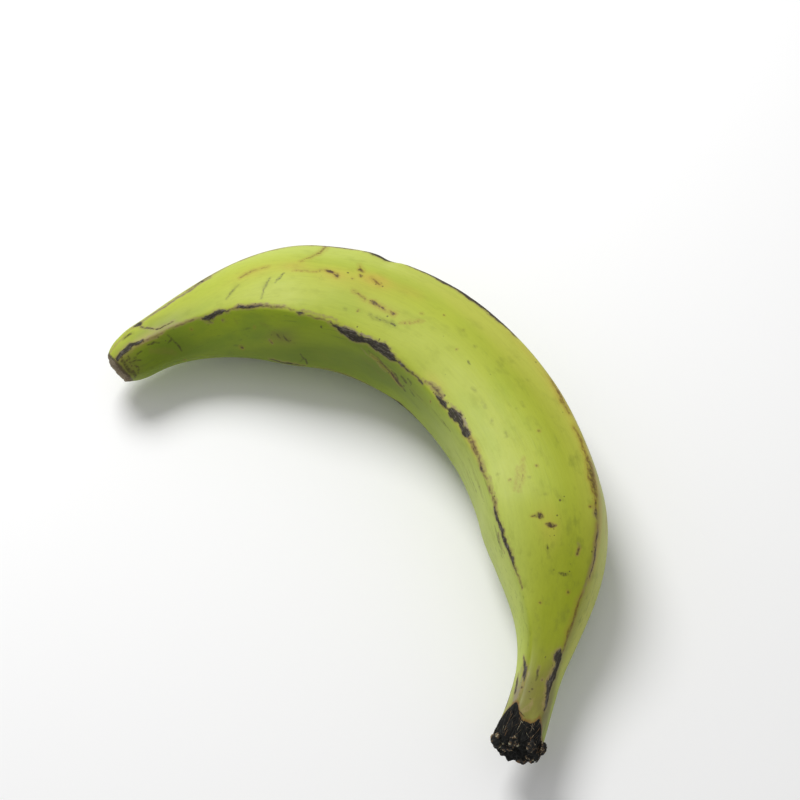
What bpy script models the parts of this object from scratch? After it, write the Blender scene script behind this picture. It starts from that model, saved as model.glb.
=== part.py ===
"""A green plantain lying on its side: one grown fruit, from its blossom scar to its torn crown end.

Lengths below are millimetres and angles are degrees; the mesh itself is in metres.
The blossom tip points to -X and the crown end to +X, the outside of the bend faces +Y, and +Z is up.
The origin is the middle of the footprint, on the surface that the fruit lies on.
Angles round the fruit start at the outside of the bend, pass the top at 90 and the inside at 180.
"""

import math

import bmesh
import bpy
import numpy as np

MM = 0.001

# The middle line starts at the tip, heading this many degrees round from +X, and bends in three arcs.
# The skin follows it from the blossom rim to the crown rim; both end faces stand out a little further.
LINE_LENGTH = 302.0
BLOSSOM_RIM = 2.5
CROWN_RIM = 298.0
TIP_X = -103.2
TIP_Y = -56.5
TIP_HEADING = 94.0
BEND_ARCS = [(143, 85.5), (117, 127), (42, 280)]    # length and radius of each, from the tip on

# Height of the middle line at the tip, body and neck, and where along the fruit it rises and falls.
TIP_HEIGHT = 16.4
BODY_HEIGHT = 21.7
NECK_HEIGHT = 16.5
HEIGHT_RISES = (14, 100)
HEIGHT_FALLS = (198, 266)

# Thickness from ridge to ridge, and where along the fruit it changes.
TIP_THICKNESS = 21.0
BODY_THICKNESS = 48.0
NECK_THICKNESS = 16.0
CROWN_THICKNESS = 17.5
TIP_ROUNDS = (-1.5, 14)
BODY_SWELLS = (12, 80)
BODY_NARROWS = (208, 275)
CROWN_WIDENS = (280, 298)
HEIGHT_SHARE = 0.95

# Two leading ridges edge the broad upper face, and three more share the rest of the way round.
OUTER_RIDGE = [(0, 44), (50, 40), (100, 31), (165, 32), (200, 42), (250, 51), (302, 51)]
INNER_RIDGE = [(0, 98), (50, 118), (100, 138), (150, 146), (205, 142), (245, 134), (265, 120), (302, 112)]
HIDDEN_RIDGES = (0.23, 0.46, 0.73)
FACE_ROUNDNESS = 0.42    # 0 leaves the faces flat, 1 makes the fruit round
RIDGE_SHARPNESS = 40.0

# Low swellings and dents of the skin: along, round, height, reach along, reach round.
# The first two hollow the belly between its three low points.
SKIN_RELIEF = [
    (100, 262, -0.6, 20, 40),
    (190, 262, -1.0, 20, 40),
    (94, 34, 0.5, 7, 16),
    (104, 31, -0.8, 4, 15),
    (9, 60, -0.5, 3, 22),
]

# End faces, from the rim inwards: share of the rim's radius, and how far the face stands out.
BLOSSOM_FACE = [(0.93, 0.75), (0.8, 0.95), (0.64, 0.35), (0.48, -0.75), (0.3, -0.5)]
BLOSSOM_STUB = 0.5
CROWN_FACE = [(0.94, 1.1), (0.82, 1.7), (0.64, 1.0), (0.44, 1.6), (0.22, 0.9)]
CROWN_MIDDLE = 1.5

# Waves torn into the crown, each as waves round the fruit, shift and height.
CROWN_START = 285.0
BARK_WAVES = [(7, 40, 0.22), (13, -25, 0.15)]
TEAR_WAVES = [(3, 70, 0.7), (8, -200, 0.56)]

# Torn knobs round the crown: along, round, share of the radius, radius, stretch along the fruit.
CROWN_KNOBS = [
    (298.8, 158, 0.92, 2.2, 1.10),
    (299.2, 148, 0.46, 1.9, 0.90),
    (298.7, 98, 0.80, 1.8, 1.10),
    (298.2, 52, 0.90, 1.7, 1.30),
    (296.4, 12, 1.03, 1.7, 1.10),
    (298.4, 352, 0.74, 1.9, 1.20),
    (298.2, 288, 0.92, 1.9, 1.00),
    (298.0, 228, 0.87, 1.8, 0.95),
]
KNOB_SINK = 0.15         # share of a knob's radius that it sinks further in
KNOB_DENT = 0.15

RINGS = 76
SIDES = 52
END_CROWDING = 0.35      # how much closer the rings stand near both ends


def smooth_curve(points, at):
    """A smooth curve through (place, value) points, read at the given places."""
    places = np.array([point[0] for point in points], float)
    values = np.array([point[1] for point in points], float)
    at = np.asarray(at, float)
    gaps = np.diff(places)
    slopes = np.diff(values) / gaps
    turns = np.empty(len(places))
    turns[0] = slopes[0]
    turns[-1] = slopes[-1]
    turns[1:-1] = (slopes[:-1] * gaps[1:] + slopes[1:] * gaps[:-1]) / (gaps[1:] + gaps[:-1])
    span = np.clip(np.searchsorted(places, at, side="right") - 1, 0, len(gaps) - 1)
    part = (at - places[span]) / gaps[span]
    rise = part * part * (3 - 2 * part)
    leave = part * (1 - part) ** 2
    arrive = part * part * (part - 1)
    return (
        (1 - rise) * values[span]
        + rise * values[span + 1]
        + gaps[span] * (leave * turns[span] + arrive * turns[span + 1])
    )


def smooth_step(at, start, end):
    """0 before start, 1 after end and a smooth rise between them."""
    part = np.clip((np.asarray(at, float) - start) / (end - start), 0, 1)
    return part * part * (3 - 2 * part)


def heading_at(along):
    """Which way the middle line heads, in radians: each arc turns it by its length over its radius."""
    turned = 0
    start = 0
    for length, radius in BEND_ARCS:
        turned = turned + np.clip(along - start, 0, length) / radius
        start += length
    return math.radians(TIP_HEADING) - turned


def height_at(along):
    """Height of the middle line: the tip's, raised to the body's and lowered again to the neck's."""
    raised = (BODY_HEIGHT - TIP_HEIGHT) * smooth_step(along, *HEIGHT_RISES)
    return TIP_HEIGHT + raised - (BODY_HEIGHT - NECK_HEIGHT) * smooth_step(along, *HEIGHT_FALLS)


def thickness_at(along):
    """The rounded tip swells into the body, which narrows to the neck and widens a little at the crown."""
    start, end = TIP_ROUNDS
    inward = 1 - np.clip((along - start) / (end - start), 0, 1)
    swollen = (BODY_THICKNESS - TIP_THICKNESS) * smooth_step(along, *BODY_SWELLS)
    narrowed = (BODY_THICKNESS - NECK_THICKNESS) * smooth_step(along, *BODY_NARROWS)
    widened = (CROWN_THICKNESS - NECK_THICKNESS) * smooth_step(along, *CROWN_WIDENS)
    return TIP_THICKNESS * np.sqrt(1 - inward ** 2) + swollen - narrowed + widened


def section(angles, outer, inner):
    """Radius of the five-sided section, where its ridges reach 1: each face is an arc between two ridges."""
    rest = outer + 360 - inner
    ridges = [outer, inner] + [inner + rest * share for share in HIDDEN_RIDGES] + [outer + 360]
    total = 0
    for start, end in zip(ridges[:-1], ridges[1:]):
        half = math.radians(end - start) / 2
        swell = FACE_ROUNDNESS * (1 - math.cos(half))
        arc = (math.sin(half) ** 2 + swell ** 2) / (2 * swell)
        centre = math.cos(half) + swell - arc
        away = np.radians(angles - (start + end) / 2)
        reach = centre * np.cos(away) + np.sqrt(np.maximum(arc ** 2 - (centre * np.sin(away)) ** 2, 0))
        total = total + np.exp(-RIDGE_SHARPNESS * reach)
    return -np.log(total) / RIDGE_SHARPNESS


def turn_between(a, b):
    """Shortest turn from angle b to angle a, in degrees."""
    return (a - b + 180) % 360 - 180


def skin_radius(along, angles):
    """Distance from the middle line to the skin, in millimetres, all round one place."""
    outer = float(smooth_curve(OUTER_RIDGE, along))
    inner = float(smooth_curve(INNER_RIDGE, along))
    radius = section(angles, outer, inner) * float(thickness_at(along)) / 2
    for place, angle, height, reach, spread in SKIN_RELIEF:
        near = ((along - place) / reach) ** 2 + (turn_between(angles, angle) / spread) ** 2
        radius = radius + height * np.exp(-near)
    torn = min(max((along - CROWN_START) / (CROWN_RIM - CROWN_START), 0), 1)
    for count, shift, height in BARK_WAVES:
        radius = radius + height * torn * np.sin(np.radians(count * angles + shift))
    return radius


def middle_line():
    """Places every half millimetre along the fruit, with the middle line's points and directions there."""
    along = np.linspace(0, LINE_LENGTH, 2 * int(LINE_LENGTH) + 1)
    heading = heading_at(along)
    step = along[1] - along[0]
    middle_of_step = (heading[1:] + heading[:-1]) / 2
    x = TIP_X + np.concatenate([[0], np.cumsum(np.cos(middle_of_step) * step)])
    y = TIP_Y + np.concatenate([[0], np.cumsum(np.sin(middle_of_step) * step)])
    z = height_at(along)
    slope = np.gradient(z, along)
    return along, np.stack([x, y, z], axis=1), heading, np.arctan(slope)


class Frame:
    """Position and directions of the middle line, read at any place along the fruit."""

    def __init__(self):
        self.along, self.points, self.heading, self.slope = middle_line()

    def at(self, place):
        """Middle point, outward, upward and forward directions at a place along the fruit."""
        middle = np.array([np.interp(place, self.along, self.points[:, axis]) for axis in range(3)])
        heading = np.interp(place, self.along, self.heading)
        slope = np.interp(place, self.along, self.slope)
        outward = np.array([-math.sin(heading), math.cos(heading), 0.0])
        forward = np.array([
            math.cos(slope) * math.cos(heading),
            math.cos(slope) * math.sin(heading),
            math.sin(slope),
        ])
        return middle, outward, np.cross(forward, outward), forward


def ring_places():
    """Places of the rings along the fruit, closer together near both ends."""
    even = np.linspace(0, 1, RINGS)
    crowded = even - END_CROWDING / (2 * math.pi) * np.sin(2 * math.pi * even)
    return BLOSSOM_RIM + (CROWN_RIM - BLOSSOM_RIM) * crowded


def ring_points(frame, place, angles, share=1.0, forward_by=0.0):
    """Points of one ring, drawn in by a share of its radius and moved along the fruit."""
    middle, outward, upward, forward = frame.at(place)
    radius = share * skin_radius(place, angles)
    out = np.outer(radius * np.cos(np.radians(angles)), outward)
    up = np.outer(radius * np.sin(np.radians(angles)) * HEIGHT_SHARE, upward)
    return middle + out + up + np.outer(forward_by * np.ones(len(angles)), forward)


def torn_face(angles, share):
    """How far the crown's end face stands out unevenly, fading towards its rim and middle."""
    tear = 0
    for count, shift, height in TEAR_WAVES:
        tear = tear + height * np.sin(np.radians(count * angles + shift * share))
    return 2 * share * (1.15 - share) * tear


def build_fruit(frame):
    """One closed lofted body: both end faces and the skin between them."""
    angles = np.arange(SIDES) * 360.0 / SIDES
    rings = []
    for share, proud in reversed(BLOSSOM_FACE):
        rings.append(ring_points(frame, BLOSSOM_RIM, angles, share, -proud))
    for place in ring_places():
        rings.append(ring_points(frame, place, angles))
    for share, proud in CROWN_FACE:
        rings.append(ring_points(frame, CROWN_RIM, angles, share, proud + torn_face(angles, share)))

    fruit = bmesh.new()
    rows = [[fruit.verts.new(point * MM) for point in ring] for ring in rings]
    for row, following in zip(rows[:-1], rows[1:]):
        for k in range(SIDES):
            after = (k + 1) % SIDES
            fruit.faces.new((row[k], row[after], following[after], following[k]))
    tip, _, _, tip_forward = frame.at(BLOSSOM_RIM)
    end, _, _, end_forward = frame.at(CROWN_RIM)
    stub = fruit.verts.new((tip - tip_forward * BLOSSOM_STUB) * MM)
    core = fruit.verts.new((end + end_forward * CROWN_MIDDLE) * MM)
    for k in range(SIDES):
        after = (k + 1) % SIDES
        fruit.faces.new((stub, rows[0][after], rows[0][k]))
        fruit.faces.new((core, rows[-1][k], rows[-1][after]))
    bmesh.ops.recalc_face_normals(fruit, faces=fruit.faces)
    return fruit


def build_knob(frame, place, angle, share, radius, stretch):
    """One torn knob of the crown: a dented ball, longer along the fruit, sunk into its surface."""
    middle, outward, upward, forward = frame.at(min(place, CROWN_RIM))
    reach = share * float(skin_radius(min(place, CROWN_RIM), np.array([float(angle)]))[0])
    turn = math.radians(angle)
    side = outward * math.cos(turn) + upward * math.sin(turn) * HEIGHT_SHARE
    centre = middle + side * (reach - KNOB_SINK * radius) + forward * max(place - CROWN_RIM, 0)
    knob = bmesh.new()
    bmesh.ops.create_icosphere(knob, subdivisions=2, radius=1.0)
    for vert in knob.verts:
        x, y, z = vert.co
        dent = 1 + KNOB_DENT * (math.sin(4.1 * x + angle) + math.sin(5.3 * y + 2.2 * z + place))
        local = outward * x + upward * y + forward * z * stretch
        vert.co = (centre + local * radius * dent) * MM
    bmesh.ops.recalc_face_normals(knob, faces=knob.faces)
    return knob


def flatten_belly(mesh):
    """Cut the three low points level with the surface, so that each ends in a small flat spot."""
    body = bmesh.new()
    body.from_mesh(mesh)
    everything = body.verts[:] + body.edges[:] + body.faces[:]
    bmesh.ops.bisect_plane(body, geom=everything, plane_co=(0, 0, 0), plane_no=(0, 0, -1), clear_outer=True)
    open_edges = [edge for edge in body.edges if edge.is_boundary]
    bmesh.ops.holes_fill(body, edges=open_edges, sides=0)
    bmesh.ops.recalc_face_normals(body, faces=body.faces)
    body.to_mesh(mesh)
    body.free()


def add_object(name, shape, collection):
    mesh = bpy.data.meshes.new(name)
    shape.to_mesh(mesh)
    shape.free()
    item = bpy.data.objects.new(name, mesh)
    collection.objects.link(item)
    return item


def plantain_skin():
    """Unripe skin: yellowish green, half matt."""
    material = bpy.data.materials.new("plantain_skin")
    material.use_nodes = True
    shader = material.node_tree.nodes["Principled BSDF"]
    shader.inputs["Base Color"].default_value = (0.38, 0.50, 0.07, 1.0)
    shader.inputs["Roughness"].default_value = 0.45
    shader.inputs["Metallic"].default_value = 0.0
    return material


def main():
    for item in list(bpy.data.objects):
        bpy.data.objects.remove(item, do_unlink=True)
    scene = bpy.context.scene
    frame = Frame()
    plantain = add_object("plantain", build_fruit(frame), scene.collection)

    # The knobs join the crown in one union, and their own objects are then removed.
    knobs = bpy.data.collections.new("crown_knobs")
    scene.collection.children.link(knobs)
    for number, knob in enumerate(CROWN_KNOBS):
        item = add_object(f"knob_{number}", build_knob(frame, *knob), knobs)
        item.hide_render = True
        item.display_type = "WIRE"
    join = plantain.modifiers.new("join_knobs", "BOOLEAN")
    join.operation = "UNION"
    join.operand_type = "COLLECTION"
    join.collection = knobs
    join.solver = "EXACT"
    joined = bpy.data.meshes.new_from_object(plantain.evaluated_get(bpy.context.evaluated_depsgraph_get()))
    plantain.modifiers.clear()
    plantain.data = joined
    for item in list(knobs.objects):
        bpy.data.objects.remove(item, do_unlink=True)
    bpy.data.collections.remove(knobs)

    flatten_belly(plantain.data)
    plantain.data.materials.clear()
    plantain.data.materials.append(plantain_skin())
    plantain.data.shade_smooth()
    plantain.data.set_sharp_from_angle(angle=math.radians(50))


main()
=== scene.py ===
import math
import random

import bmesh
import bpy
import numpy as np
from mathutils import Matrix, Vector, noise


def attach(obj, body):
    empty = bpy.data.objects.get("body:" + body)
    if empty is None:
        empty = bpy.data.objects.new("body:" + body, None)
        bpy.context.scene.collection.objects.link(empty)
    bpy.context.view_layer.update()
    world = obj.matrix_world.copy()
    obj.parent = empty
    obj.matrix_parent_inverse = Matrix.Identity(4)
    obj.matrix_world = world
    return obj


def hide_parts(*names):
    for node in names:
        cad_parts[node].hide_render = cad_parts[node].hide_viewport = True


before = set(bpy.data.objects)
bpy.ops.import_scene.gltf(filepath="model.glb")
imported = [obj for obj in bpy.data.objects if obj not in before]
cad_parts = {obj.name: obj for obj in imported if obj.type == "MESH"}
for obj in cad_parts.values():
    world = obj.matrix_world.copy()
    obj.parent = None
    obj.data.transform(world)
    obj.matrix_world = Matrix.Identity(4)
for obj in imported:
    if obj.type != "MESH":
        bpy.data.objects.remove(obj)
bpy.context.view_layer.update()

# A green plantain on its side. Lengths are millimetres and angles are degrees until a mesh is made.
# "Along" follows the middle line, from the blossom tip's rim (2.5) to the torn crown's (298).
# "Round" is 0 at the outside of the bend, 90 on top and 180 at the inside.
mm = 0.001

fruitShape = {
    "lineLength": 302.0,
    "blossomRim": 2.5,
    "crownRim": 298.0,
    "tip": (-103.2, -56.5),
    "tipHeading": 94.0,
    "bendArcs": [(143, 85.5), (117, 127), (42, 280)],    # length and radius of each, from the tip on
    "tipHeight": 16.4,
    "bodyHeight": 21.7,
    "neckHeight": 16.5,
    "heightRises": (14, 100),
    "heightFalls": (198, 266),
    "tipThickness": 21.0,
    "bodyThickness": 48.0,
    "neckThickness": 16.0,
    "crownThickness": 17.5,
    "tipRounds": (-1.5, 14),
    "bodySwells": (12, 80),
    "bodyNarrows": (208, 275),
    "crownWidens": (280, 298),
    "heightShare": 0.95,
    "outerRidge": [(0, 44), (50, 40), (100, 31), (165, 32), (200, 42), (250, 51), (302, 51)],
    "innerRidge": [
        (0, 98), (50, 118), (100, 138), (150, 146), (205, 142), (245, 134), (265, 120), (302, 112),
    ],
    "hiddenRidges": (0.23, 0.46, 0.73),
    "faceRoundness": 0.42,
    "ridgeSharpness": 40.0,
    # Low swellings and dents: along, round, height, reach along, reach round.
    "relief": [
        (100, 262, -0.6, 20, 40), (190, 262, -1.0, 20, 40), (94, 34, 0.5, 7, 16),
        (101.5, 31, -0.9, 3, 15), (9, 60, -0.5, 3, 22),
    ],
    "crownStart": 285.0,
    "barkWaves": [(7, 40, 0.22), (13, -25, 0.15)],
    "tearWaves": [(3, 70, 0.7), (8, -200, 0.56)],
    "blossomFace": [(0.93, 0.75), (0.8, 0.95), (0.64, 0.35), (0.48, -0.75), (0.3, -0.5), (0, 0.5)],
    "crownFace": [(0.94, 1.1), (0.82, 1.7), (0.64, 1.0), (0.44, 1.6), (0.22, 0.9), (0, 1.5)],
    "rings": 590,
    "endCrowding": 0.2,
    "columns": (60, 34, 20, 20, 24),      # on each of the five faces, from the outer ridge round
    "ridgeCrowding": 0.45,
    "faceRings": 11,
}


def smoothCurve(points, at):
    places = np.array([point[0] for point in points], float)
    values = np.array([point[1] for point in points], float)
    at = np.asarray(at, float)
    gaps = np.diff(places)
    slopes = np.diff(values) / gaps
    turns = np.empty(len(places))
    turns[0], turns[-1] = slopes[0], slopes[-1]
    turns[1:-1] = (slopes[:-1] * gaps[1:] + slopes[1:] * gaps[:-1]) / (gaps[1:] + gaps[:-1])
    span = np.clip(np.searchsorted(places, at, side="right") - 1, 0, len(gaps) - 1)
    part = (at - places[span]) / gaps[span]
    rise = part * part * (3 - 2 * part)
    leave = part * (1 - part) ** 2
    arrive = part * part * (part - 1)
    bow = gaps[span] * (leave * turns[span] + arrive * turns[span + 1])
    return (1 - rise) * values[span] + rise * values[span + 1] + bow


def smoothStep(at, start, end):
    part = np.clip((np.asarray(at, float) - start) / (end - start), 0, 1)
    return part * part * (3 - 2 * part)


def turnBetween(a, b):
    return (a - b + 180) % 360 - 180


def headingAt(along):
    # Each arc of the middle line turns it by its length over its radius.
    turned = 0
    start = 0
    for length, radius in fruitShape["bendArcs"]:
        turned = turned + np.clip(along - start, 0, length) / radius
        start += length
    return math.radians(fruitShape["tipHeading"]) - turned


def heightAt(along):
    # The tip's height, raised to the body's and lowered again to the neck's.
    tip, body, neck = (fruitShape[part + "Height"] for part in ("tip", "body", "neck"))
    raised = (body - tip) * smoothStep(along, *fruitShape["heightRises"])
    return tip + raised - (body - neck) * smoothStep(along, *fruitShape["heightFalls"])


def thicknessAt(along):
    # The rounded tip swells into the body, which narrows to the neck and widens a little at the crown.
    tip, body, neck, crown = (fruitShape[part + "Thickness"] for part in ("tip", "body", "neck", "crown"))
    start, end = fruitShape["tipRounds"]
    inward = 1 - np.clip((along - start) / (end - start), 0, 1)
    swollen = (body - tip) * smoothStep(along, *fruitShape["bodySwells"])
    narrowed = (body - neck) * smoothStep(along, *fruitShape["bodyNarrows"])
    widened = (crown - neck) * smoothStep(along, *fruitShape["crownWidens"])
    return tip * np.sqrt(1 - inward ** 2) + swollen - narrowed + widened


def ridgeAngles(along):
    # The five ridges at each place, and the first one again a full turn later.
    outer = smoothCurve(fruitShape["outerRidge"], along)
    inner = smoothCurve(fruitShape["innerRidge"], along)
    rest = outer + 360 - inner
    hidden = [inner + rest * share for share in fruitShape["hiddenRidges"]]
    return [outer, inner] + hidden + [outer + 360]


def skinRadius(along, round):
    # Distance from the middle line to the skin. Each face is an arc between two ridges.
    ridges = ridgeAngles(along)
    total = 0
    for start, end in zip(ridges[:-1], ridges[1:]):
        half = np.radians(end - start) / 2
        swell = fruitShape["faceRoundness"] * (1 - np.cos(half))
        arc = (np.sin(half) ** 2 + swell ** 2) / (2 * swell)
        centre = np.cos(half) + swell - arc
        away = np.radians(round - (start + end) / 2)
        reach = centre * np.cos(away) + np.sqrt(np.maximum(arc ** 2 - (centre * np.sin(away)) ** 2, 0))
        total = total + np.exp(-fruitShape["ridgeSharpness"] * reach)
    radius = -np.log(total) / fruitShape["ridgeSharpness"]
    radius = radius * thicknessAt(along) / 2
    for place, angle, height, reach, spread in fruitShape["relief"]:
        near = ((along - place) / reach) ** 2 + (turnBetween(round, angle) / spread) ** 2
        radius = radius + height * np.exp(-near)
    start, end = fruitShape["crownStart"], fruitShape["crownRim"]
    torn = np.clip((along - start) / (end - start), 0, 1)
    for count, shift, height in fruitShape["barkWaves"]:
        radius = radius + height * torn * np.sin(np.radians(count * round + shift))
    return radius


def makeMiddleLine():
    along = np.linspace(0, fruitShape["lineLength"], 2 * int(fruitShape["lineLength"]) + 1)
    heading = headingAt(along)
    step = along[1] - along[0]
    midStep = (heading[1:] + heading[:-1]) / 2
    x = fruitShape["tip"][0] + np.concatenate([[0], np.cumsum(np.cos(midStep) * step)])
    y = fruitShape["tip"][1] + np.concatenate([[0], np.cumsum(np.sin(midStep) * step)])
    z = heightAt(along)
    slope = np.arctan(np.gradient(z, along))
    return {"along": along, "points": (x, y, z), "heading": heading, "slope": slope}


middleLine = makeMiddleLine()


def directionsAt(along):
    # Middle point, outward, upward and forward directions at each place along the fruit.
    along = np.asarray(along, float)
    middle = np.stack([np.interp(along, middleLine["along"], axis) for axis in middleLine["points"]], -1)
    heading = np.interp(along, middleLine["along"], middleLine["heading"])
    slope = np.interp(along, middleLine["along"], middleLine["slope"])
    outward = np.stack([-np.sin(heading), np.cos(heading), np.zeros_like(heading)], -1)
    forward = np.stack([np.cos(slope) * np.cos(heading), np.cos(slope) * np.sin(heading), np.sin(slope)], -1)
    return middle, outward, np.cross(forward, outward), forward


def skinPoints(along, round, radius, forwardBy=0.0):
    # Points at these places, radii from the middle line and steps forward, in millimetres.
    middle, outward, upward, forward = directionsAt(along)
    turn = np.radians(round)
    across = (radius * np.cos(turn))[..., None] * outward
    up = (radius * np.sin(turn) * fruitShape["heightShare"])[..., None] * upward
    return middle + across + up + np.asarray(forwardBy)[..., None] * forward


def makeGrid():
    even = np.linspace(0, 1, fruitShape["rings"])
    crowd = fruitShape["endCrowding"] / (2 * math.pi) * np.sin(2 * math.pi * even)
    start, end = fruitShape["blossomRim"], fruitShape["crownRim"]
    along = (start + (end - start) * (even - crowd))[:, None]
    ridges = ridgeAngles(along)
    spans = []
    for count, start, end in zip(fruitShape["columns"], ridges[:-1], ridges[1:]):
        even = np.arange(count) / count
        crowd = fruitShape["ridgeCrowding"] / (2 * math.pi) * np.sin(2 * math.pi * even)
        spans.append(start + (end - start) * (even - crowd))
    round = np.concatenate(spans, axis=1)
    return np.broadcast_to(along, round.shape).copy(), round


def addMesh(name, points, faces):
    mesh = bpy.data.meshes.new(name)
    mesh.from_pydata((np.asarray(points) * mm).tolist(), [], faces)
    mesh.update()
    mesh.shade_smooth()
    item = bpy.data.objects.new(name, mesh)
    bpy.context.scene.collection.objects.link(item)
    return item


def addField(item, name, values):
    values = np.asarray(values, float)
    kind = "FLOAT_VECTOR" if values.ndim == 2 else "FLOAT"
    field = item.data.attributes.new(name, kind, "POINT")
    field.data.foreach_set("vector" if kind == "FLOAT_VECTOR" else "value", values.ravel())


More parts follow.
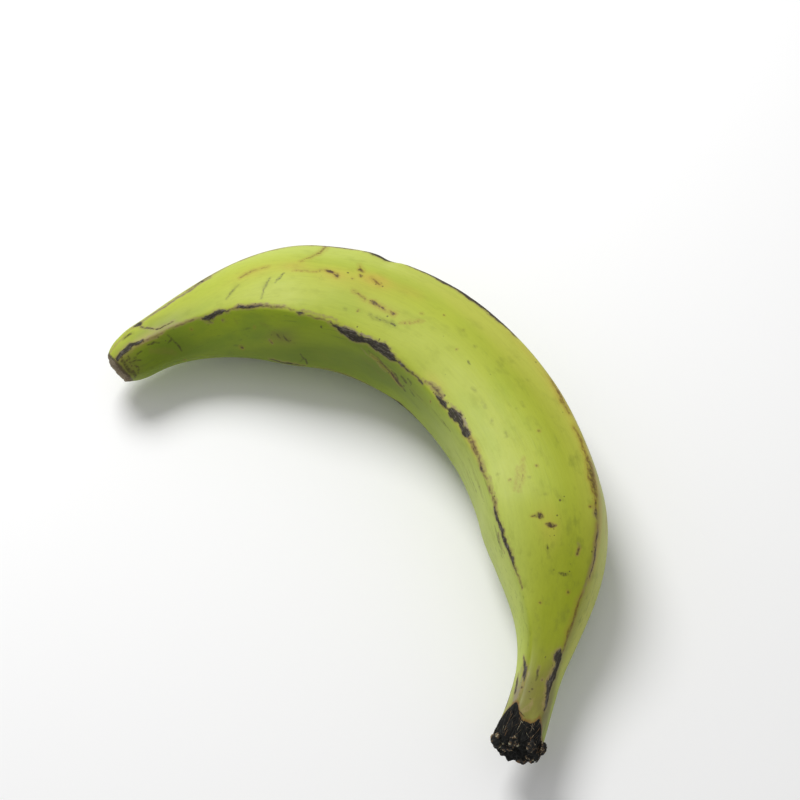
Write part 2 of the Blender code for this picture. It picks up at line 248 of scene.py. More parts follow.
# Scars that follow a ridge: which ridge, then along, degrees off the ridge and half width.
ridgeScars = {
    "black": [
        (1, [(2.8, -4, 1.0), (5.5, -5, 1.1), (8.5, -7, 1.05), (11, -4, 0.9), (13, -1, 0.3)]),
        (1, [(37.5, 3, 0.3), (39, 4, 0.9), (40.5, 4.5, 1.2), (42.5, 2.5, 0.8), (44.5, 1, 0.9), (46.5, 0, 0.5),
             (48.5, 0, 0.2)]),
        (1, [(39.6, 8, 0.5), (40.2, 12, 0.3)]),
        (1, [(51.5, -0.5, 0.3), (53, -1, 0.6), (57, -1, 0.55), (61.5, -1.5, 0.35), (65, -1.5, 0.1)]),
        (1, [(77.3, -0.5, 0.2), (78.5, -0.5, 0.6), (80, 0, 0.2)]),
        (1, [(92, 0.5, 0.3), (95, 1.5, 0.9), (99, 3, 1.6), (103, 3.5, 2.0), (107, 2.5, 1.5), (111, 1, 0.9)]),
        (1, [(110, 0.5, 0.9), (114, 0, 1.5), (118, 0, 2.1), (121, 0.5, 1.9), (124, 1, 1.3), (127, 1, 0.5)]),
        (1, [(126, 1, 0.5), (132, 1, 0.3), (139, 0.5, 0.35), (144.5, 0, 0.2)]),
        (1, [(152, -2, 0.2), (155, -2, 0.8), (158, -1.5, 1.0), (160.5, -1.5, 0.5)]),
        (1, [(161, -2, 0.5), (163.5, -3.5, 1.4), (167, -4, 1.7), (169.5, -3.5, 1.1), (171.5, -3, 0.7)]),
        (1, [(172.3, -3, 0.8), (174.5, -3, 1.5), (176.3, -2.5, 1.2), (177.5, -2, 0.3)]),
        (1, [(190.5, -1, 0.1), (193, -0.5, 0.5), (195, 0, 0.2)]),
        (1, [(211, 1, 0.3), (213.5, 1.5, 0.8), (218, 1.5, 0.6), (223.5, 1, 0.8), (228.5, 1, 0.75),
             (233, 0, 0.5), (239, -0.5, 0.15)]),
        (0, [(15, 8, 0.8), (16.5, 8, 1.2), (17.3, 10, 0.6)]),
        (0, [(40.5, 4, 0.2), (42.5, 5, 0.6), (45, 4, 0.3)]),
        (0, [(82, 1, 0.3), (86, 1, 0.5), (90, 1, 0.2)]),
        (0, [(94, 2, 0.5), (97, 2, 1.3), (100, 1, 1.4), (102.5, 0, 0.6)]),
        (0, [(107, 1, 0.4), (112, 1, 0.8), (120, 1.5, 1.1), (132, 1.5, 1.1), (142, 1, 0.9), (149, 1, 0.3)]),
        (0, [(217.4, 1.5, 0.3), (218.5, 1.5, 0.6), (220, 1.5, 0.3)]),
        (0, [(224, -1.5, 0.2), (226, -2.5, 0.4), (229, -3.5, 0.25), (231, -4.5, 0.55), (233, -5, 0.35),
             (238, -6, 0.2)]),
        (0, [(263.3, 5, 0.5), (264.5, 2, 1.3), (266, 2, 1.7), (268, -2, 1.1), (270.5, 0, 1.1),
             (273.5, 1, 1.15), (276.5, 4, 0.95), (279, 3, 0.9), (282, -1, 0.55), (285.5, -3, 0.2)]),
        (2, [(62, 0, 0.2), (68, 1, 0.8), (74, 0, 0.6), (80, 0, 0.2)]),
        (2, [(126, 0, 0.3), (133, -1, 1.3), (141, 0, 1.0), (150, 1, 0.6), (163, 0, 0.2)]),
        (2, [(205, 0, 0.2), (216, 1, 0.9), (229, 0, 0.5), (236, 0, 0.2)]),
        (3, [(48, 0, 0.2), (57, 0, 0.8), (70, 1, 0.5), (77, 0, 0.2)]),
        (3, [(112, 0, 0.2), (118, 0, 0.9), (123, 1, 0.6), (131, 0, 0.2)]),
        (3, [(168, 0, 0.2), (176, -1, 1.2), (190, 0, 0.7), (202, 0, 0.3)]),
        (4, [(40, 0, 0.2), (52, 0, 0.8), (66, 1, 1.1), (78, 0, 0.7), (92, 0, 0.3)]),
        (4, [(117, 0, 0.3), (124, 1, 1.0), (132, 0, 0.4), (139, 0, 0.3)]),
        (4, [(150, 0, 0.3), (160, 0, 1.3), (171, 1, 1.7), (181, 0, 1.0), (196, 0, 0.6), (209, 0, 0.2)]),
        (4, [(233, 0, 0.2), (242, 0, 0.7), (251, 0, 0.2)]),
        (2, [(272, 0, 0.2), (278, 2, 0.9), (285, 0, 1.1)]),
        (3, [(266, 0, 0.2), (273, -2, 1.0), (280, 0, 0.5)]),
        (4, [(276, 0, 0.3), (283, 1, 1.1), (289, 0, 1.2)]),
        (3, [(4, 0, 0.8), (8, 0, 0.6), (12, 0, 0.2)]),
        (4, [(4, 0, 1.3), (11, -3, 0.9), (19, 0, 0.3)]),
    ],
    "brown": [
        (1, [(13, 1, 0.2), (17, 2, 0.4), (21, 1, 0.2)]),
        (1, [(24, 0, 0.2), (28, 1, 0.35), (34, 1.5, 0.25)]),
        (1, [(48, 0, 0.3), (50.5, -0.3, 0.4), (52.5, -1, 0.7), (57, -1, 0.75), (61.5, -2, 0.6),
             (65.5, -2, 0.5), (70.5, -2, 0.4), (76, -2, 0.25)]),
        (1, [(80, 0, 0.2), (86, 0, 0.3), (92, 0, 0.2)]),
        (1, [(144.5, -3, 0.1), (148, -4, 0.45), (152, -4.5, 0.75), (155.5, -4.5, 0.3)]),
        (1, [(180, -3, 0.3), (185, -3, 0.5), (190, -1, 0.3)]),
        (0, [(17.5, 7, 0.2), (22, 8, 0.35), (30, 9, 0.3), (38, 9, 0.4), (45, 8, 0.2)]),
        (1, [(178, -2, 0.2), (184, -1.5, 0.25), (188, -1, 0.45), (192, -0.5, 0.4), (196, 0, 0.6),
             (199, 0, 0.3)]),
        (1, [(202.5, 0, 0.2), (204, -0.5, 0.6), (205.5, -0.5, 0.2)]),
        (1, [(206.5, 0, 0.2), (208.5, 0, 0.6), (210.5, 0.5, 0.5), (213, 1, 0.3)]),
        (1, [(238, -0.5, 0.25), (243, -1, 0.2)]),
        (0, [(36, 4, 0.3), (40, 5, 0.5), (42.5, 6, 0.3)]),
        (0, [(45, 2, 0.3), (60, 1.5, 0.4), (78, 1, 0.4), (92, 1, 0.3)]),
        (2, [(84, 0, 0.2), (97, 0, 0.5), (112, 0, 0.4), (126, 0, 0.3)]),
        (3, [(77, 0, 0.2), (92, 0, 0.5), (108, 0, 0.3)]),
        (3, [(202, 0, 0.3), (219, 0, 0.5), (240, 0, 0.3)]),
        (4, [(92, 0, 0.3), (104, 1, 0.6), (117, 0, 0.3)]),
        (4, [(209, 0, 0.3), (221, 1, 0.6), (233, 0, 0.2)]),
    ],
    "ochre": [
        (0, [(168, 1, 0.3), (173, 2, 0.7), (178, 3, 0.6), (183, 3, 0.3)]),
        (0, [(188, 4, 0.2), (194, 3, 0.4), (199, 2, 0.5), (202, 1.5, 1.2), (207, 1.5, 1.6), (211, 2, 1.3),
             (214, 1.5, 0.6), (218, 1, 0.3)]),
        (0, [(222, -1, 0.3), (228, -3, 0.4), (234, -5.5, 0.35), (239, -5.5, 0.2)]),
        (0, [(243, 0, 0.2), (248, 0, 0.5), (256, -2, 0.7), (260, -4, 0.5), (263, -2, 0.4)]),
        (1, [(178, -3.5, 0.2), (182, -3.5, 0.35), (186, -3.5, 0.2)]),
    ],
    "tan": [
        (1, [(12, 1, 0.6), (14.5, 1, 0.8), (18.5, 0, 0.9), (22.5, -2, 0.8), (26, -3, 0.6), (30, -1, 0.7),
             (35, 0.5, 0.6), (38, 2, 0.4)]),
        (1, [(51, -3, 0.4), (57, -3.5, 0.5), (64, -4, 0.5), (72, -3.5, 0.4)]),
        (1, [(80, -3, 0.4), (88, -3, 0.5), (94, -4, 0.5)]),
        (1, [(143, -2, 0.4), (147, -4, 1.0), (151, -4.5, 1.5), (154.5, -4.5, 1.1), (157, -4, 0.4)]),
        (1, [(160, -6, 0.3), (166, -7, 0.6), (172, -5.5, 0.8), (178, -4, 0.5)]),
        (1, [(178, -2.5, 0.8), (186, -2, 1.0), (196, -1, 1.1), (206, -1, 1.1), (214, 0, 0.7)]),
        (0, [(3, 12, 0.5), (9, 10, 0.4), (20, 6, 0.4), (40, 5, 0.5), (60, 3, 0.4), (92, 2, 0.4)]),
        (0, [(222, 0, 0.8), (234, -3, 0.8), (246, 0, 0.6)]),
        (0, [(262, 8, 0.3), (270, 8, 0.4), (277, 10, 0.4), (284, 4, 0.4)]),
    ],
    "pink": [
        (0, [(17, 7, 0.2), (21, 8, 0.5), (29, 9, 0.55), (37, 9, 0.5), (45, 8, 0.3)]),
        (1, [(98, -1, 0.3), (106, -1.5, 0.5), (116, -3, 0.4), (124, -1.5, 0.3)]),
        (1, [(163, -6, 0.3), (168, -7, 0.5), (174, -6, 0.3)]),
    ],
    # Places with small dark dots.
    "dots": [
        (1, [(10, 4, 0.8), (20, 5, 0.8), (30, 4, 0.6)]),
        (1, [(50, -3, 0.4), (62, -4, 0.6), (76, -3, 0.4)]),
        (1, [(95, -1, 1.6), (105, -2, 1.6), (122, -3, 1.4), (132, -1, 0.6)]),
        (1, [(144, -2, 0.8), (150, -4, 1.8), (156, -4, 1.4), (160, -4, 0.6)]),
        (1, [(162, -7, 0.8), (170, -7, 1.0), (178, -3, 0.8), (190, -1, 0.8), (200, 0, 1.0), (212, 0, 0.8)]),
        (0, [(205, 3, 0.8), (216, 2, 1.0), (230, 0, 1.0), (240, -2, 0.8)]),
        (0, [(262, 8, 0.4), (272, 7, 0.5), (284, 3, 0.5)]),
        (3, [(60, 0, 1.2), (120, 0, 1.2), (180, 0, 1.5), (240, 0, 1.0)]),
        (4, [(60, 0, 1.5), (120, 0, 1.2), (180, 0, 1.8), (240, 0, 1.0)]),
    ],
}

# Marks elsewhere on the skin: along, round and half width. One point alone is a spot.
faceMarks = {
    "black": [
        [(16.3, 62, 0.25), (16.6, 74, 0.3), (18.3, 87, 0.25), (20, 94, 0.3), (24, 99, 0.32), (27, 99, 0.15)],
        [(273, 158, 0.25), (275.5, 155, 0.5), (278, 152, 0.5), (281, 146, 0.3)],
        [(266.5, 146, 0.15), (269, 139, 0.65), (272, 131, 0.85), (274.5, 125, 0.65), (277, 119, 0.15)],
        [(279.5, 123, 0.5)],
        [(80, 290, 0.2), (83, 296, 0.35), (85, 305, 0.2)],
        [(152, 358, 0.6)],
        [(188, 345, 0.2), (191, 352, 0.4), (192, 1, 0.2)],
    ],
    "spot": [
        [(25, 186, 0.7)],
        [(50, 169, 0.6), (50.6, 171, 0.5)],
        [(95.4, 64.5, 0.6), (96.3, 66.5, 0.4)],
        [(96, 72.5, 0.45), (96.5, 74.5, 0.5)],
        [(94.3, 80, 0.3)],
        [(85.4, 76, 0.4), (86.6, 77.5, 0.75)],
        [(88.6, 80.5, 0.75), (89.4, 83.5, 0.5)],
        [(83.2, 76, 0.3)],
        [(218, 103.2, 1.1), (218.5, 102, 1.0)],
        [(218.2, 104, 0.4), (217.8, 111, 0.3)],
        [(221.6, 97, 0.3), (222, 93.5, 1.0), (222.2, 91.5, 0.9)],
        [(222.2, 91, 0.2), (222, 87, 0.15)],
        [(230, 64, 0.4), (231.3, 64, 0.15)],
        [(104.4, 103.6, 0.5), (105.8, 104.8, 0.7)],
        [(107.4, 104.4, 0.4), (108, 106, 0.3)],
        [(109.4, 105.2, 0.6)], [(114, 107, 0.5)],
        [(126, 160.5, 0.3), (128, 163, 0.7), (130, 165.5, 0.6), (132, 167, 0.2)],
        [(129, 74, 0.35)], [(123, 88, 0.4)], [(143, 98, 0.45)], [(200.6, 94, 0.35)], [(203, 124, 0.4)],
        [(187.5, 78, 0.35)], [(101, 119, 0.45)],
        [(128, 164.5, 0.6), (130, 166.5, 0.4)],
        [(152, 154, 0.35)], [(216.5, 52, 0.35)], [(32, 126, 0.35)], [(64.5, 162, 0.5)], [(58, 144, 0.4)],
        [(244, 68, 0.4)], [(75, 80.6, 0.2)], [(77, 81.4, 0.24)], [(79, 81.6, 0.26)], [(80.8, 81, 0.22)],
        [(82, 79.6, 0.26)], [(118.6, 112, 0.24)], [(120.2, 109.6, 0.24)], [(121.6, 106.5, 0.28)],
        [(122.8, 103.5, 0.24)], [(124, 100, 0.24)], [(125, 96.6, 0.26)], [(248, 108, 0.3)],
        [(66, 12, 0.5)], [(118, 340, 0.5)], [(171, 18, 0.45)], [(93, 300, 0.5)], [(143, 215, 0.6)],
        [(198, 262, 0.5)], [(233, 330, 0.5)], [(37, 250, 0.5)],
    ],
    "scratch": [
        [(22.6, 116, 0.15), (23.4, 126, 0.3), (23.6, 134, 0.25), (24.4, 142, 0.4), (25, 150, 0.4),
         (25.2, 159, 0.2)],
        [(21.4, 134, 0.15), (22.6, 130, 0.3), (23.2, 127, 0.15)],
        [(78, 174, 0.2), (79, 179, 0.4), (80.2, 181, 0.35), (81, 188, 0.4)],
        [(79.4, 180, 0.3), (77.6, 184, 0.25)],
        [(67.4, 153, 0.3), (68.6, 157, 0.4)],
        [(70.4, 154, 0.3), (72, 158, 0.45), (73, 160, 0.25)],
        [(75.6, 162, 0.35)],
        [(49, 102, 0.1), (51, 95, 0.25), (54, 87, 0.1)],
        [(62.6, 114, 0.1), (64, 102, 0.3), (66, 89, 0.2)],
        [(67.6, 97, 0.15), (69, 91, 0.35), (70.8, 83, 0.2)],
        [(3.5, 110, 0.5), (3.6, 126, 0.45), (3.9, 146, 0.55), (4.3, 164, 0.45), (4.2, 182, 0.3)],
        [(5.2, 126, 0.2), (7, 129, 0.35), (8.4, 137, 0.2)],
        [(5.6, 117, 0.45)], [(7.4, 122, 0.45)],
        [(6, 140, 0.3), (6.4, 152, 0.25), (5.6, 163, 0.3)],
        [(8.6, 118, 0.25), (10.4, 120, 0.3)],
        [(13.5, 116, 0.2), (16.5, 117, 0.35), (18, 122, 0.2)],
        [(9.6, 60, 0.3), (11.4, 66, 0.45)],
        [(36, 190, 0.3), (38.5, 192, 0.4)],
        [(115.6, 117.6, 0.3), (117.6, 117, 0.45)],
        [(108, 118.8, 0.05), (111, 119.2, 0.2), (113.6, 118.8, 0.05)],
        [(112, 150, 0.1), (117, 153, 0.3), (121, 156.4, 0.4), (125, 160, 0.45), (127, 162, 0.5)],
        [(129.6, 165, 0.7), (133, 168.6, 0.7), (135.8, 171, 0.5)],
        [(126.4, 159.2, 0.4), (128.6, 160.4, 0.75), (130.4, 161.8, 0.4)],
        [(131.8, 156.6, 0.4), (134.4, 158.4, 0.7), (135.8, 159.6, 0.4)],
        [(136, 154.4, 0.35), (138.2, 156, 0.55)],
        [(138.6, 164.4, 0.3), (142, 166.4, 0.5)],
        [(158, 157, 0.1), (163, 158.6, 0.3), (168, 159, 0.1)],
        [(186, 166, 0.1), (192, 167.6, 0.35), (198, 168.4, 0.3), (203, 168, 0.1)],
        [(217, 150.4, 0.15), (222, 151.4, 0.4), (227, 151.4, 0.15)],
        [(237.6, 86, 0.15), (238.2, 79, 0.35), (238, 72, 0.15)],
        [(236.8, 92, 0.3)],
        [(149, 98, 0.3), (151, 99, 0.35)],
        [(228.4, 98, 0.2), (230, 97.4, 0.3)],
        [(272, 94, 0.15), (274.4, 93, 0.35), (276, 93.4, 0.15)],
        [(150, 250, 0.2), (157, 247, 0.4), (162, 248, 0.2)],
        [(70, 320, 0.2), (74, 326, 0.4), (76, 332, 0.2)],
        [(190, 310, 0.2), (196, 307, 0.4)],
        [(110, 205, 0.15), (118, 207, 0.35), (124, 206, 0.15)],
    ],
    "brown": [
        [(126.5, 161, 0.2), (128, 164, 0.6), (130, 166.5, 0.5), (132, 168, 0.3)],
        [(221.5, 97, 0.3), (222, 94, 0.5), (222.2, 87, 0.3)],
        [(228.4, 64, 0.2), (230, 64, 0.45), (231.5, 64, 0.2)],
        [(271, 92, 0.4), (273, 91, 0.3)],
        [(275, 76, 0.35)],
        [(220.5, 147.5, 0.2), (223, 149, 0.4), (226, 149.5, 0.35), (228.5, 149, 0.2)],
        [(45.5, 127, 0.4)],
        [(63.6, 159, 0.3), (64.8, 164, 0.4)],
        [(66, 258, 0.7)],
        [(140, 232, 0.2), (144, 228, 0.5), (149, 229, 0.2)],
        [(176, 300, 0.3), (181, 296, 0.6), (184, 297, 0.3)],
        [(104, 345, 0.3), (106, 352, 0.5), (107, 4, 0.2)],
        [(131, 15, 0.5)],
    ],
    "ochre": [
        [(55.3, 76, 0.2), (57, 74, 0.45), (58.6, 73, 0.35)],
        [(57.4, 71.6, 0.3), (59.8, 71, 0.45), (61.4, 70.6, 0.2)],
        [(63, 70, 0.2), (64.8, 69, 0.3)],
        [(76, 65, 0.25), (78, 60, 0.35), (80, 54, 0.35), (81.5, 47, 0.4), (82.3, 39, 0.25)],
        [(84.6, 76, 0.3), (87, 78.5, 0.6), (89.2, 83.5, 0.3)],
        [(74, 80, -0.2), (79, 81, 0.05), (83, 78, -0.1)],
        [(94.6, 57, 0.2), (95.2, 61, 0.3), (95.8, 64, 0.4)],
        [(100.2, 72, 0.25), (102.2, 74, 0.5), (103.4, 77, 0.25)],
        [(103.6, 103.5, 0.3), (105.5, 104.5, 0.7), (107, 105, 0.4)],
        [(107.6, 104, 0.3), (109.2, 105, 0.6), (111, 106.5, 0.3)],
        [(112.6, 106, 0.3), (114.2, 107, 0.6)],
        [(119.5, 110, 0.0), (122, 105, 0.15), (125, 97, 0.0)],
        [(96.5, 98, 0.3), (99, 99.5, 0.35), (101.5, 103.5, 0.45)],
        [(114, 154, 0.2), (119, 157, 0.35), (124, 160, 0.35), (127, 162.5, 0.7), (130.5, 166.5, 0.5),
         (134, 170, 0.2)],
        [(196, 105, -0.1), (200, 109, 0.1), (204, 113, 0.15), (208, 118, -0.1)],
        [(199, 113, -0.2), (203, 117, 0.0), (207, 121, -0.2)],
        [(214, 15, 0.3), (219, 17, 0.5), (222, 16, 0.2)],
    ],
    "tan": [
        [(108, 152, 0.25), (116, 158, 0.35), (123, 164, 0.3)],
        [(274, 118, 0.5), (281, 124, 0.7), (286, 128, 0.6)],
        [(283, 84, 0.5), (287, 92, 0.9), (289, 104, 0.4)],
    ],
    "olive": [
        [(49, 102, 0.4), (51, 95, 0.6), (54, 88, 0.4)],
        [(62.6, 114, 0.4), (64, 101, 0.7), (66, 89, 0.5)],
        [(105.5, 117.5, 0.6), (109, 119, 0.9), (113, 119, 0.8), (115.5, 117.5, 1.2), (118, 117, 0.8)],
        [(210, 84, 0.1), (212.4, 80, 0.5), (214, 77, 0.3)],
        [(176, 88, 0.3)],
        [(229, 100, 0.2), (231, 98, 0.4)],
        [(231, 98, 0.2), (232.6, 97, 0.5)],
        [(50, 132, 0.5), (51, 136, 0.3)],
        [(108, 160, 0.3), (116, 167, 0.5), (123, 175, 0.3)],
        [(134, 159, 0.4), (142, 162, 0.5), (147, 163, 0.3)],
        [(181, 170, 0.3), (188, 172, 0.45), (196, 173, 0.3)],
        [(184, 156, 0.3), (194, 158, 0.7), (204, 157, 0.4)],
        [(66, 152, 1.0), (69, 156, 1.5), (73, 159, 1.1)],
        [(61, 140, 0.4), (64, 143, 0.6)],
        [(14, 130, 1.0), (19, 145, 1.4), (22, 158, 0.8)],
        [(96, 120, 0.6)], [(138, 74, 0.7)], [(146, 79, 0.6)],
        [(160, 115, 0.5), (162, 115, 0.3)],
        [(167, 115, 0.3), (170, 116, 0.4)],
        [(176, 117, 0.5), (178, 118, 0.3)],
        [(183, 112, 0.4), (185, 112, 0.5)],
        [(174, 78, 0.4), (176, 79, 0.5)],
        [(204, 106, 0.55)], [(199, 133, 0.5)], [(200, 55, 0.5)], [(230, 99, 0.4)],
        [(238, 86, 0.4), (238, 78, 0.5), (238, 70, 0.3)],
        [(211, 95, 0.4), (211, 91, 0.3)],
        [(250, 63, 0.55)],
        [(9, 60, 0.8), (12, 66, 0.9)],
        [(90, 330, 0.8), (96, 326, 0.4)],
        [(60, 315, 0.5), (64, 320, 0.8)],
        [(120, 350, 0.5), (128, 347, 0.4)],
        [(155, 10, 0.3), (163, 8, 0.5), (170, 9, 0.3)],
        [(120, 240, 0.8)],
        [(207, 235, 0.4), (213, 231, 0.6)],
        [(97, 225, 0.4), (103, 222, 0.6)],
    ],
    "pink": [
        [(275, 131, 0.3), (278, 134, 0.7), (281, 135, 0.8), (285, 131, 0.5)],
        [(271, 148, 0.2), (277, 146, 0.5), (284, 140, 0.4)],
    ],
    "dots": [
        [(76, 81, 0.5), (84, 83, 0.5)],
        [(84, 74, 1.0), (90, 84, 1.0)],
        [(92, 72, 0.6), (104, 76, 1.4)],
        [(103, 102, 1.2), (116, 108, 1.2)],
        [(117, 112, 0.6), (121, 107, 0.6), (126, 96, 0.5)],
        [(106, 118, 0.8), (118, 117, 0.9)],
        [(214, 78, 2.0), (224, 92, 2.0)],
        [(236, 70, 1.0), (240, 84, 1.0)],
        [(4, 105, 1.2), (6, 130, 2.0), (5, 165, 1.6)],
        [(12, 115, 0.8), (24, 130, 1.2)],
        [(62, 150, 1.5), (74, 160, 1.5)],
        [(110, 152, 1.0), (134, 168, 1.4)],
        [(136, 158, 1.0), (150, 164, 1.0)],
        [(185, 155, 1.0), (206, 160, 1.2)],
        [(262, 80, 0.3), (276, 96, 0.6), (286, 90, 0.9)],
        [(274, 126, 0.6), (286, 130, 0.8)],
    ],
}

# Wide soft washes of colour: along, round, reach along, reach round, strength.
washes = {
    # Partly a pale greyish bloom and partly painted light, lightening the inner side and the outer side
    # towards the neck.
    "pale": [
        (204, 172, 50, 40, 0.9), (225, 165, 25, 34, 0.9), (262, 172, 28, 34, 1.2), (285, 180, 20, 34, 1.2),
        (75, 50, 35, 14, 0.4), (262, 20, 30, 26, 0.6),
        (245, 350, 30, 30, 0.6), (84, 42, 40, 8, 0.7), (234, 160, 26, 22, 1.1),
    ],
    # Straw is partly real yellowing and partly painted light, lightening the outer side that faces away from
    # the key light.
    "strawAndPaintedLight": [
        (170, 14, 50, 22, 0.9), (215, 16, 34, 26, 1.3), (245, 18, 26, 30, 1.1), (120, 10, 40, 16, 0.4),
        (130, 46, 30, 12, 0.45), (160, 48, 26, 14, 0.75), (196, 50, 26, 11, 0.8), (222, 54, 14, 8, 0.6),
    ],
    # Partly darker green and partly painted shade, darkening the inner side where shade falls.
    "deepGreenAndPaintedShade": [
        (14, 150, 16, 45, 1.1), (66, 184, 34, 16, 0.8), (98, 176, 26, 18, 0.8), (150, 262, 120, 40, 0.45),
        (112, 148, 16, 6, 0.5), (124, 164, 16, 14, 0.6), (14, 84, 14, 30, 0.3), (27, 92, 10, 24, 0.22),
        (139, 166, 14, 16, 0.6), (162, 168, 22, 14, 0.35),
    ],
    "olive": [
        (205, 64, 34, 20, 0.45), (240, 80, 16, 46, 0.75), (262, 92, 14, 44, 1.0), (276, 92, 12, 40, 0.6),
        (172, 62, 24, 14, 0.25), (150, 75, 22, 20, 0.15), (236, 56, 14, 16, 0.4), (188, 150, 14, 8, 0.2),
    ],
    "gold": [
        (102, 72, 5, 8, 0.95), (74, 73, 5, 9, 0.4), (96, 84, 14, 16, 0.25), (60, 73, 8, 10, 0.3),
        (108, 106, 8, 8, 0.25), (176, 36, 10, 6, 0.5), (204, 40, 20, 6, 0.7), (222, 94, 7, 12, 0.25),
        (15, 100, 8, 12, 0.3), (114, 68, 6, 8, 0.3), (88, 80, 5, 8, 0.4), (230, 42, 12, 6, 0.5),
        (182, 143, 10, 4, 0.35), (148, 138, 6, 5, 0.3), (158, 34, 14, 5, 0.3),
    ],
    "dun": [
        (3, 130, 4, 50, 0.7), (289, 84, 10, 45, 0.9), (288, 124, 9, 20, 0.5), (277, 70, 12, 18, 0.5),
        (289, 48, 6, 14, 0.6), (286, 160, 9, 30, 0.4), (280, 106, 13, 30, 0.45), (290, 250, 7, 60, 0.6),
        (16, 104, 8, 6, 0.3), (3, 280, 5, 60, 0.6), (284, 34, 9, 20, 0.8),
        (276, 60, 12, 8, 0.4), (262, 38, 14, 12, 0.35), (70, 156, 7, 9, 0.45), (222, 46, 10, 5, 0.3),
    ],
}

# Where the dried crown begins, round the fruit, and where the dried blossom tip ends.
crownBorder = [
    (0, 295), (28, 293.2), (42, 291), (52, 289.6), (58, 288.8), (66, 290.5), (80, 291.4), (95, 291.2),
    (104, 289.8), (112, 287.4), (124, 285.2), (140, 285.8), (158, 287.5), (175, 289.8), (200, 291),
    (230, 288.5), (255, 287), (275, 289.5), (300, 292), (330, 290.5), (345, 293.5), (360, 295),
]
tipBorder = [
    (0, 3.2), (40, 2.6), (70, 2.3), (95, 2.4), (120, 2.6), (150, 2.8), (190, 3.4), (230, 4.0), (280, 3.2),
    (330, 3.8), (360, 3.2),
]


strokeReach = 7.0      # how far beyond its ends a stroke is worked out, in millimetres
farOutside = -5.0      # what a field says away from all its strokes


def strokeField(field, path, along, round, radius):
    # Keeps, at each point, how many millimetres inside the widest stroke it lies.
    low = min(point[0] for point in path) - strokeReach
    high = max(point[0] for point in path) + strokeReach
    rows = np.flatnonzero((along.min(axis=1) > low) & (along.max(axis=1) < high))
    if len(rows) == 0:
        return
    rows = slice(rows[0], rows[-1] + 1)
    perDegree = np.radians(radius[rows])
    if len(path) == 1:
        path = [path[0], path[0]]
    for (alongA, roundA, wideA), (alongB, roundB, wideB) in zip(path[:-1], path[1:]):
        x = along[rows] - alongA
        y = turnBetween(round[rows], roundA) * perDegree
        dx = alongB - alongA
        dy = turnBetween(roundB, roundA) * perDegree
        part = np.clip((x * dx + y * dy) / (dx * dx + dy * dy + 1e-9), 0, 1)
        inside = wideA + (wideB - wideA) * part - np.hypot(x - part * dx, y - part * dy)
        field[rows] = np.maximum(field[rows], inside)


def markField(kind, along, round, radius):
    # Slow waves bend the strokes a little, so that none is straight.
    turn = np.radians(round)
    sway = 0.2 * np.sin(0.8 * along + 7 * turn) + 0.1 * np.sin(2.1 * along - 11 * turn + 1)
    lean = 0.2 * np.sin(0.63 * along + 5 * turn + 2)
    lean = lean + 0.1 * np.sin(1.7 * along - 4 * turn + np.sin(0.4 * along))
    along = along + sway
    round = round + np.degrees(lean / radius)
    field = np.full(along.shape, farOutside)
    for ridge, path in ridgeScars.get(kind, []):
        at = [float(ridgeAngles(np.array([point[0]], float))[ridge][0]) for point in path]
        path = [(point[0], angle + point[1], point[2]) for point, angle in zip(path, at)]
        strokeField(field, path, along, round, radius)
    for path in faceMarks.get(kind, []):
        strokeField(field, path, along, round, radius)
    return field


def washField(kind, along, round):
    total = np.zeros(along.shape)
    for place, angle, reach, spread, strength in washes[kind]:
        near = ((along - place) / reach) ** 2 + (turnBetween(round, angle) / spread) ** 2
        total = total + strength * np.exp(-near)
    return total / (1 + np.maximum(total - 0.6, 0))


def crumpleAt(points, size):
    return np.array([noise.fractal(Vector(point) / size, 0.8, 2.1, 4) for point in points])


skinFinish = {
    "ripple": 0.10,          # low waves of the skin, in millimetres
    "scarRise": 0.10,
    "barkFibre": 0.55,       # roughness of the dried crown
    "barkSize": 1.1,
    "barkStretch": 4.5,
    "tipCrumple": 0.45,
    "tipSize": 1.3,
    "tipLean": 1.3,          # how far the blossom end's upper inner side reaches out
    "tipLeanReach": 9,
    "crownFaceCrumple": 0.75,
    "tipFaceCrumple": 0.4,
    "faceCrumpleSize": 1.2,
}


def makeEndFace(end, along, round, radius, fine, lean):
    # Rings from the rim to the middle of an end face, each with its points and its inset.
    row, sign, profile = (0, -1, "blossomFace") if end == "tip" else (-1, 1, "crownFace")
    profile = [(-share, proud) for share, proud in [(1, 0)] + fruitShape[profile]]
    turn = np.radians(round[row])
    rings = []
    for share in np.linspace(1, 0, fruitShape["faceRings"] + 1)[1:]:
        proud = np.full(len(turn), float(smoothCurve(profile, -share)))
        if end == "crown":
            for count, shift, height in fruitShape["tearWaves"]:
                tear = height * np.sin(np.radians(count * round[row] + shift * share))
                proud += 2 * share * (1.15 - share) * tear
        x = share * radius[row] * np.cos(turn)
        y = share * radius[row] * np.sin(turn)
        crumple = crumpleAt(np.stack([x, y, 7.0 * sign + 0 * x], -1), skinFinish["faceCrumpleSize"])
        proud += skinFinish[end + "FaceCrumple"] * crumple * min(1, 6 * (1 - share))
        if share == 0:
            proud[:] = proud.mean()
        drawnIn = share * (radius + fine)[row]
        rings.append({
            "points": skinPoints(along[row], round[row], drawnIn, sign * proud + share * lean),
            "straight": np.stack([along[row] + sign * proud, x, y], -1),
            "inset": (1 - share) * radius[row],
        })
    return rings


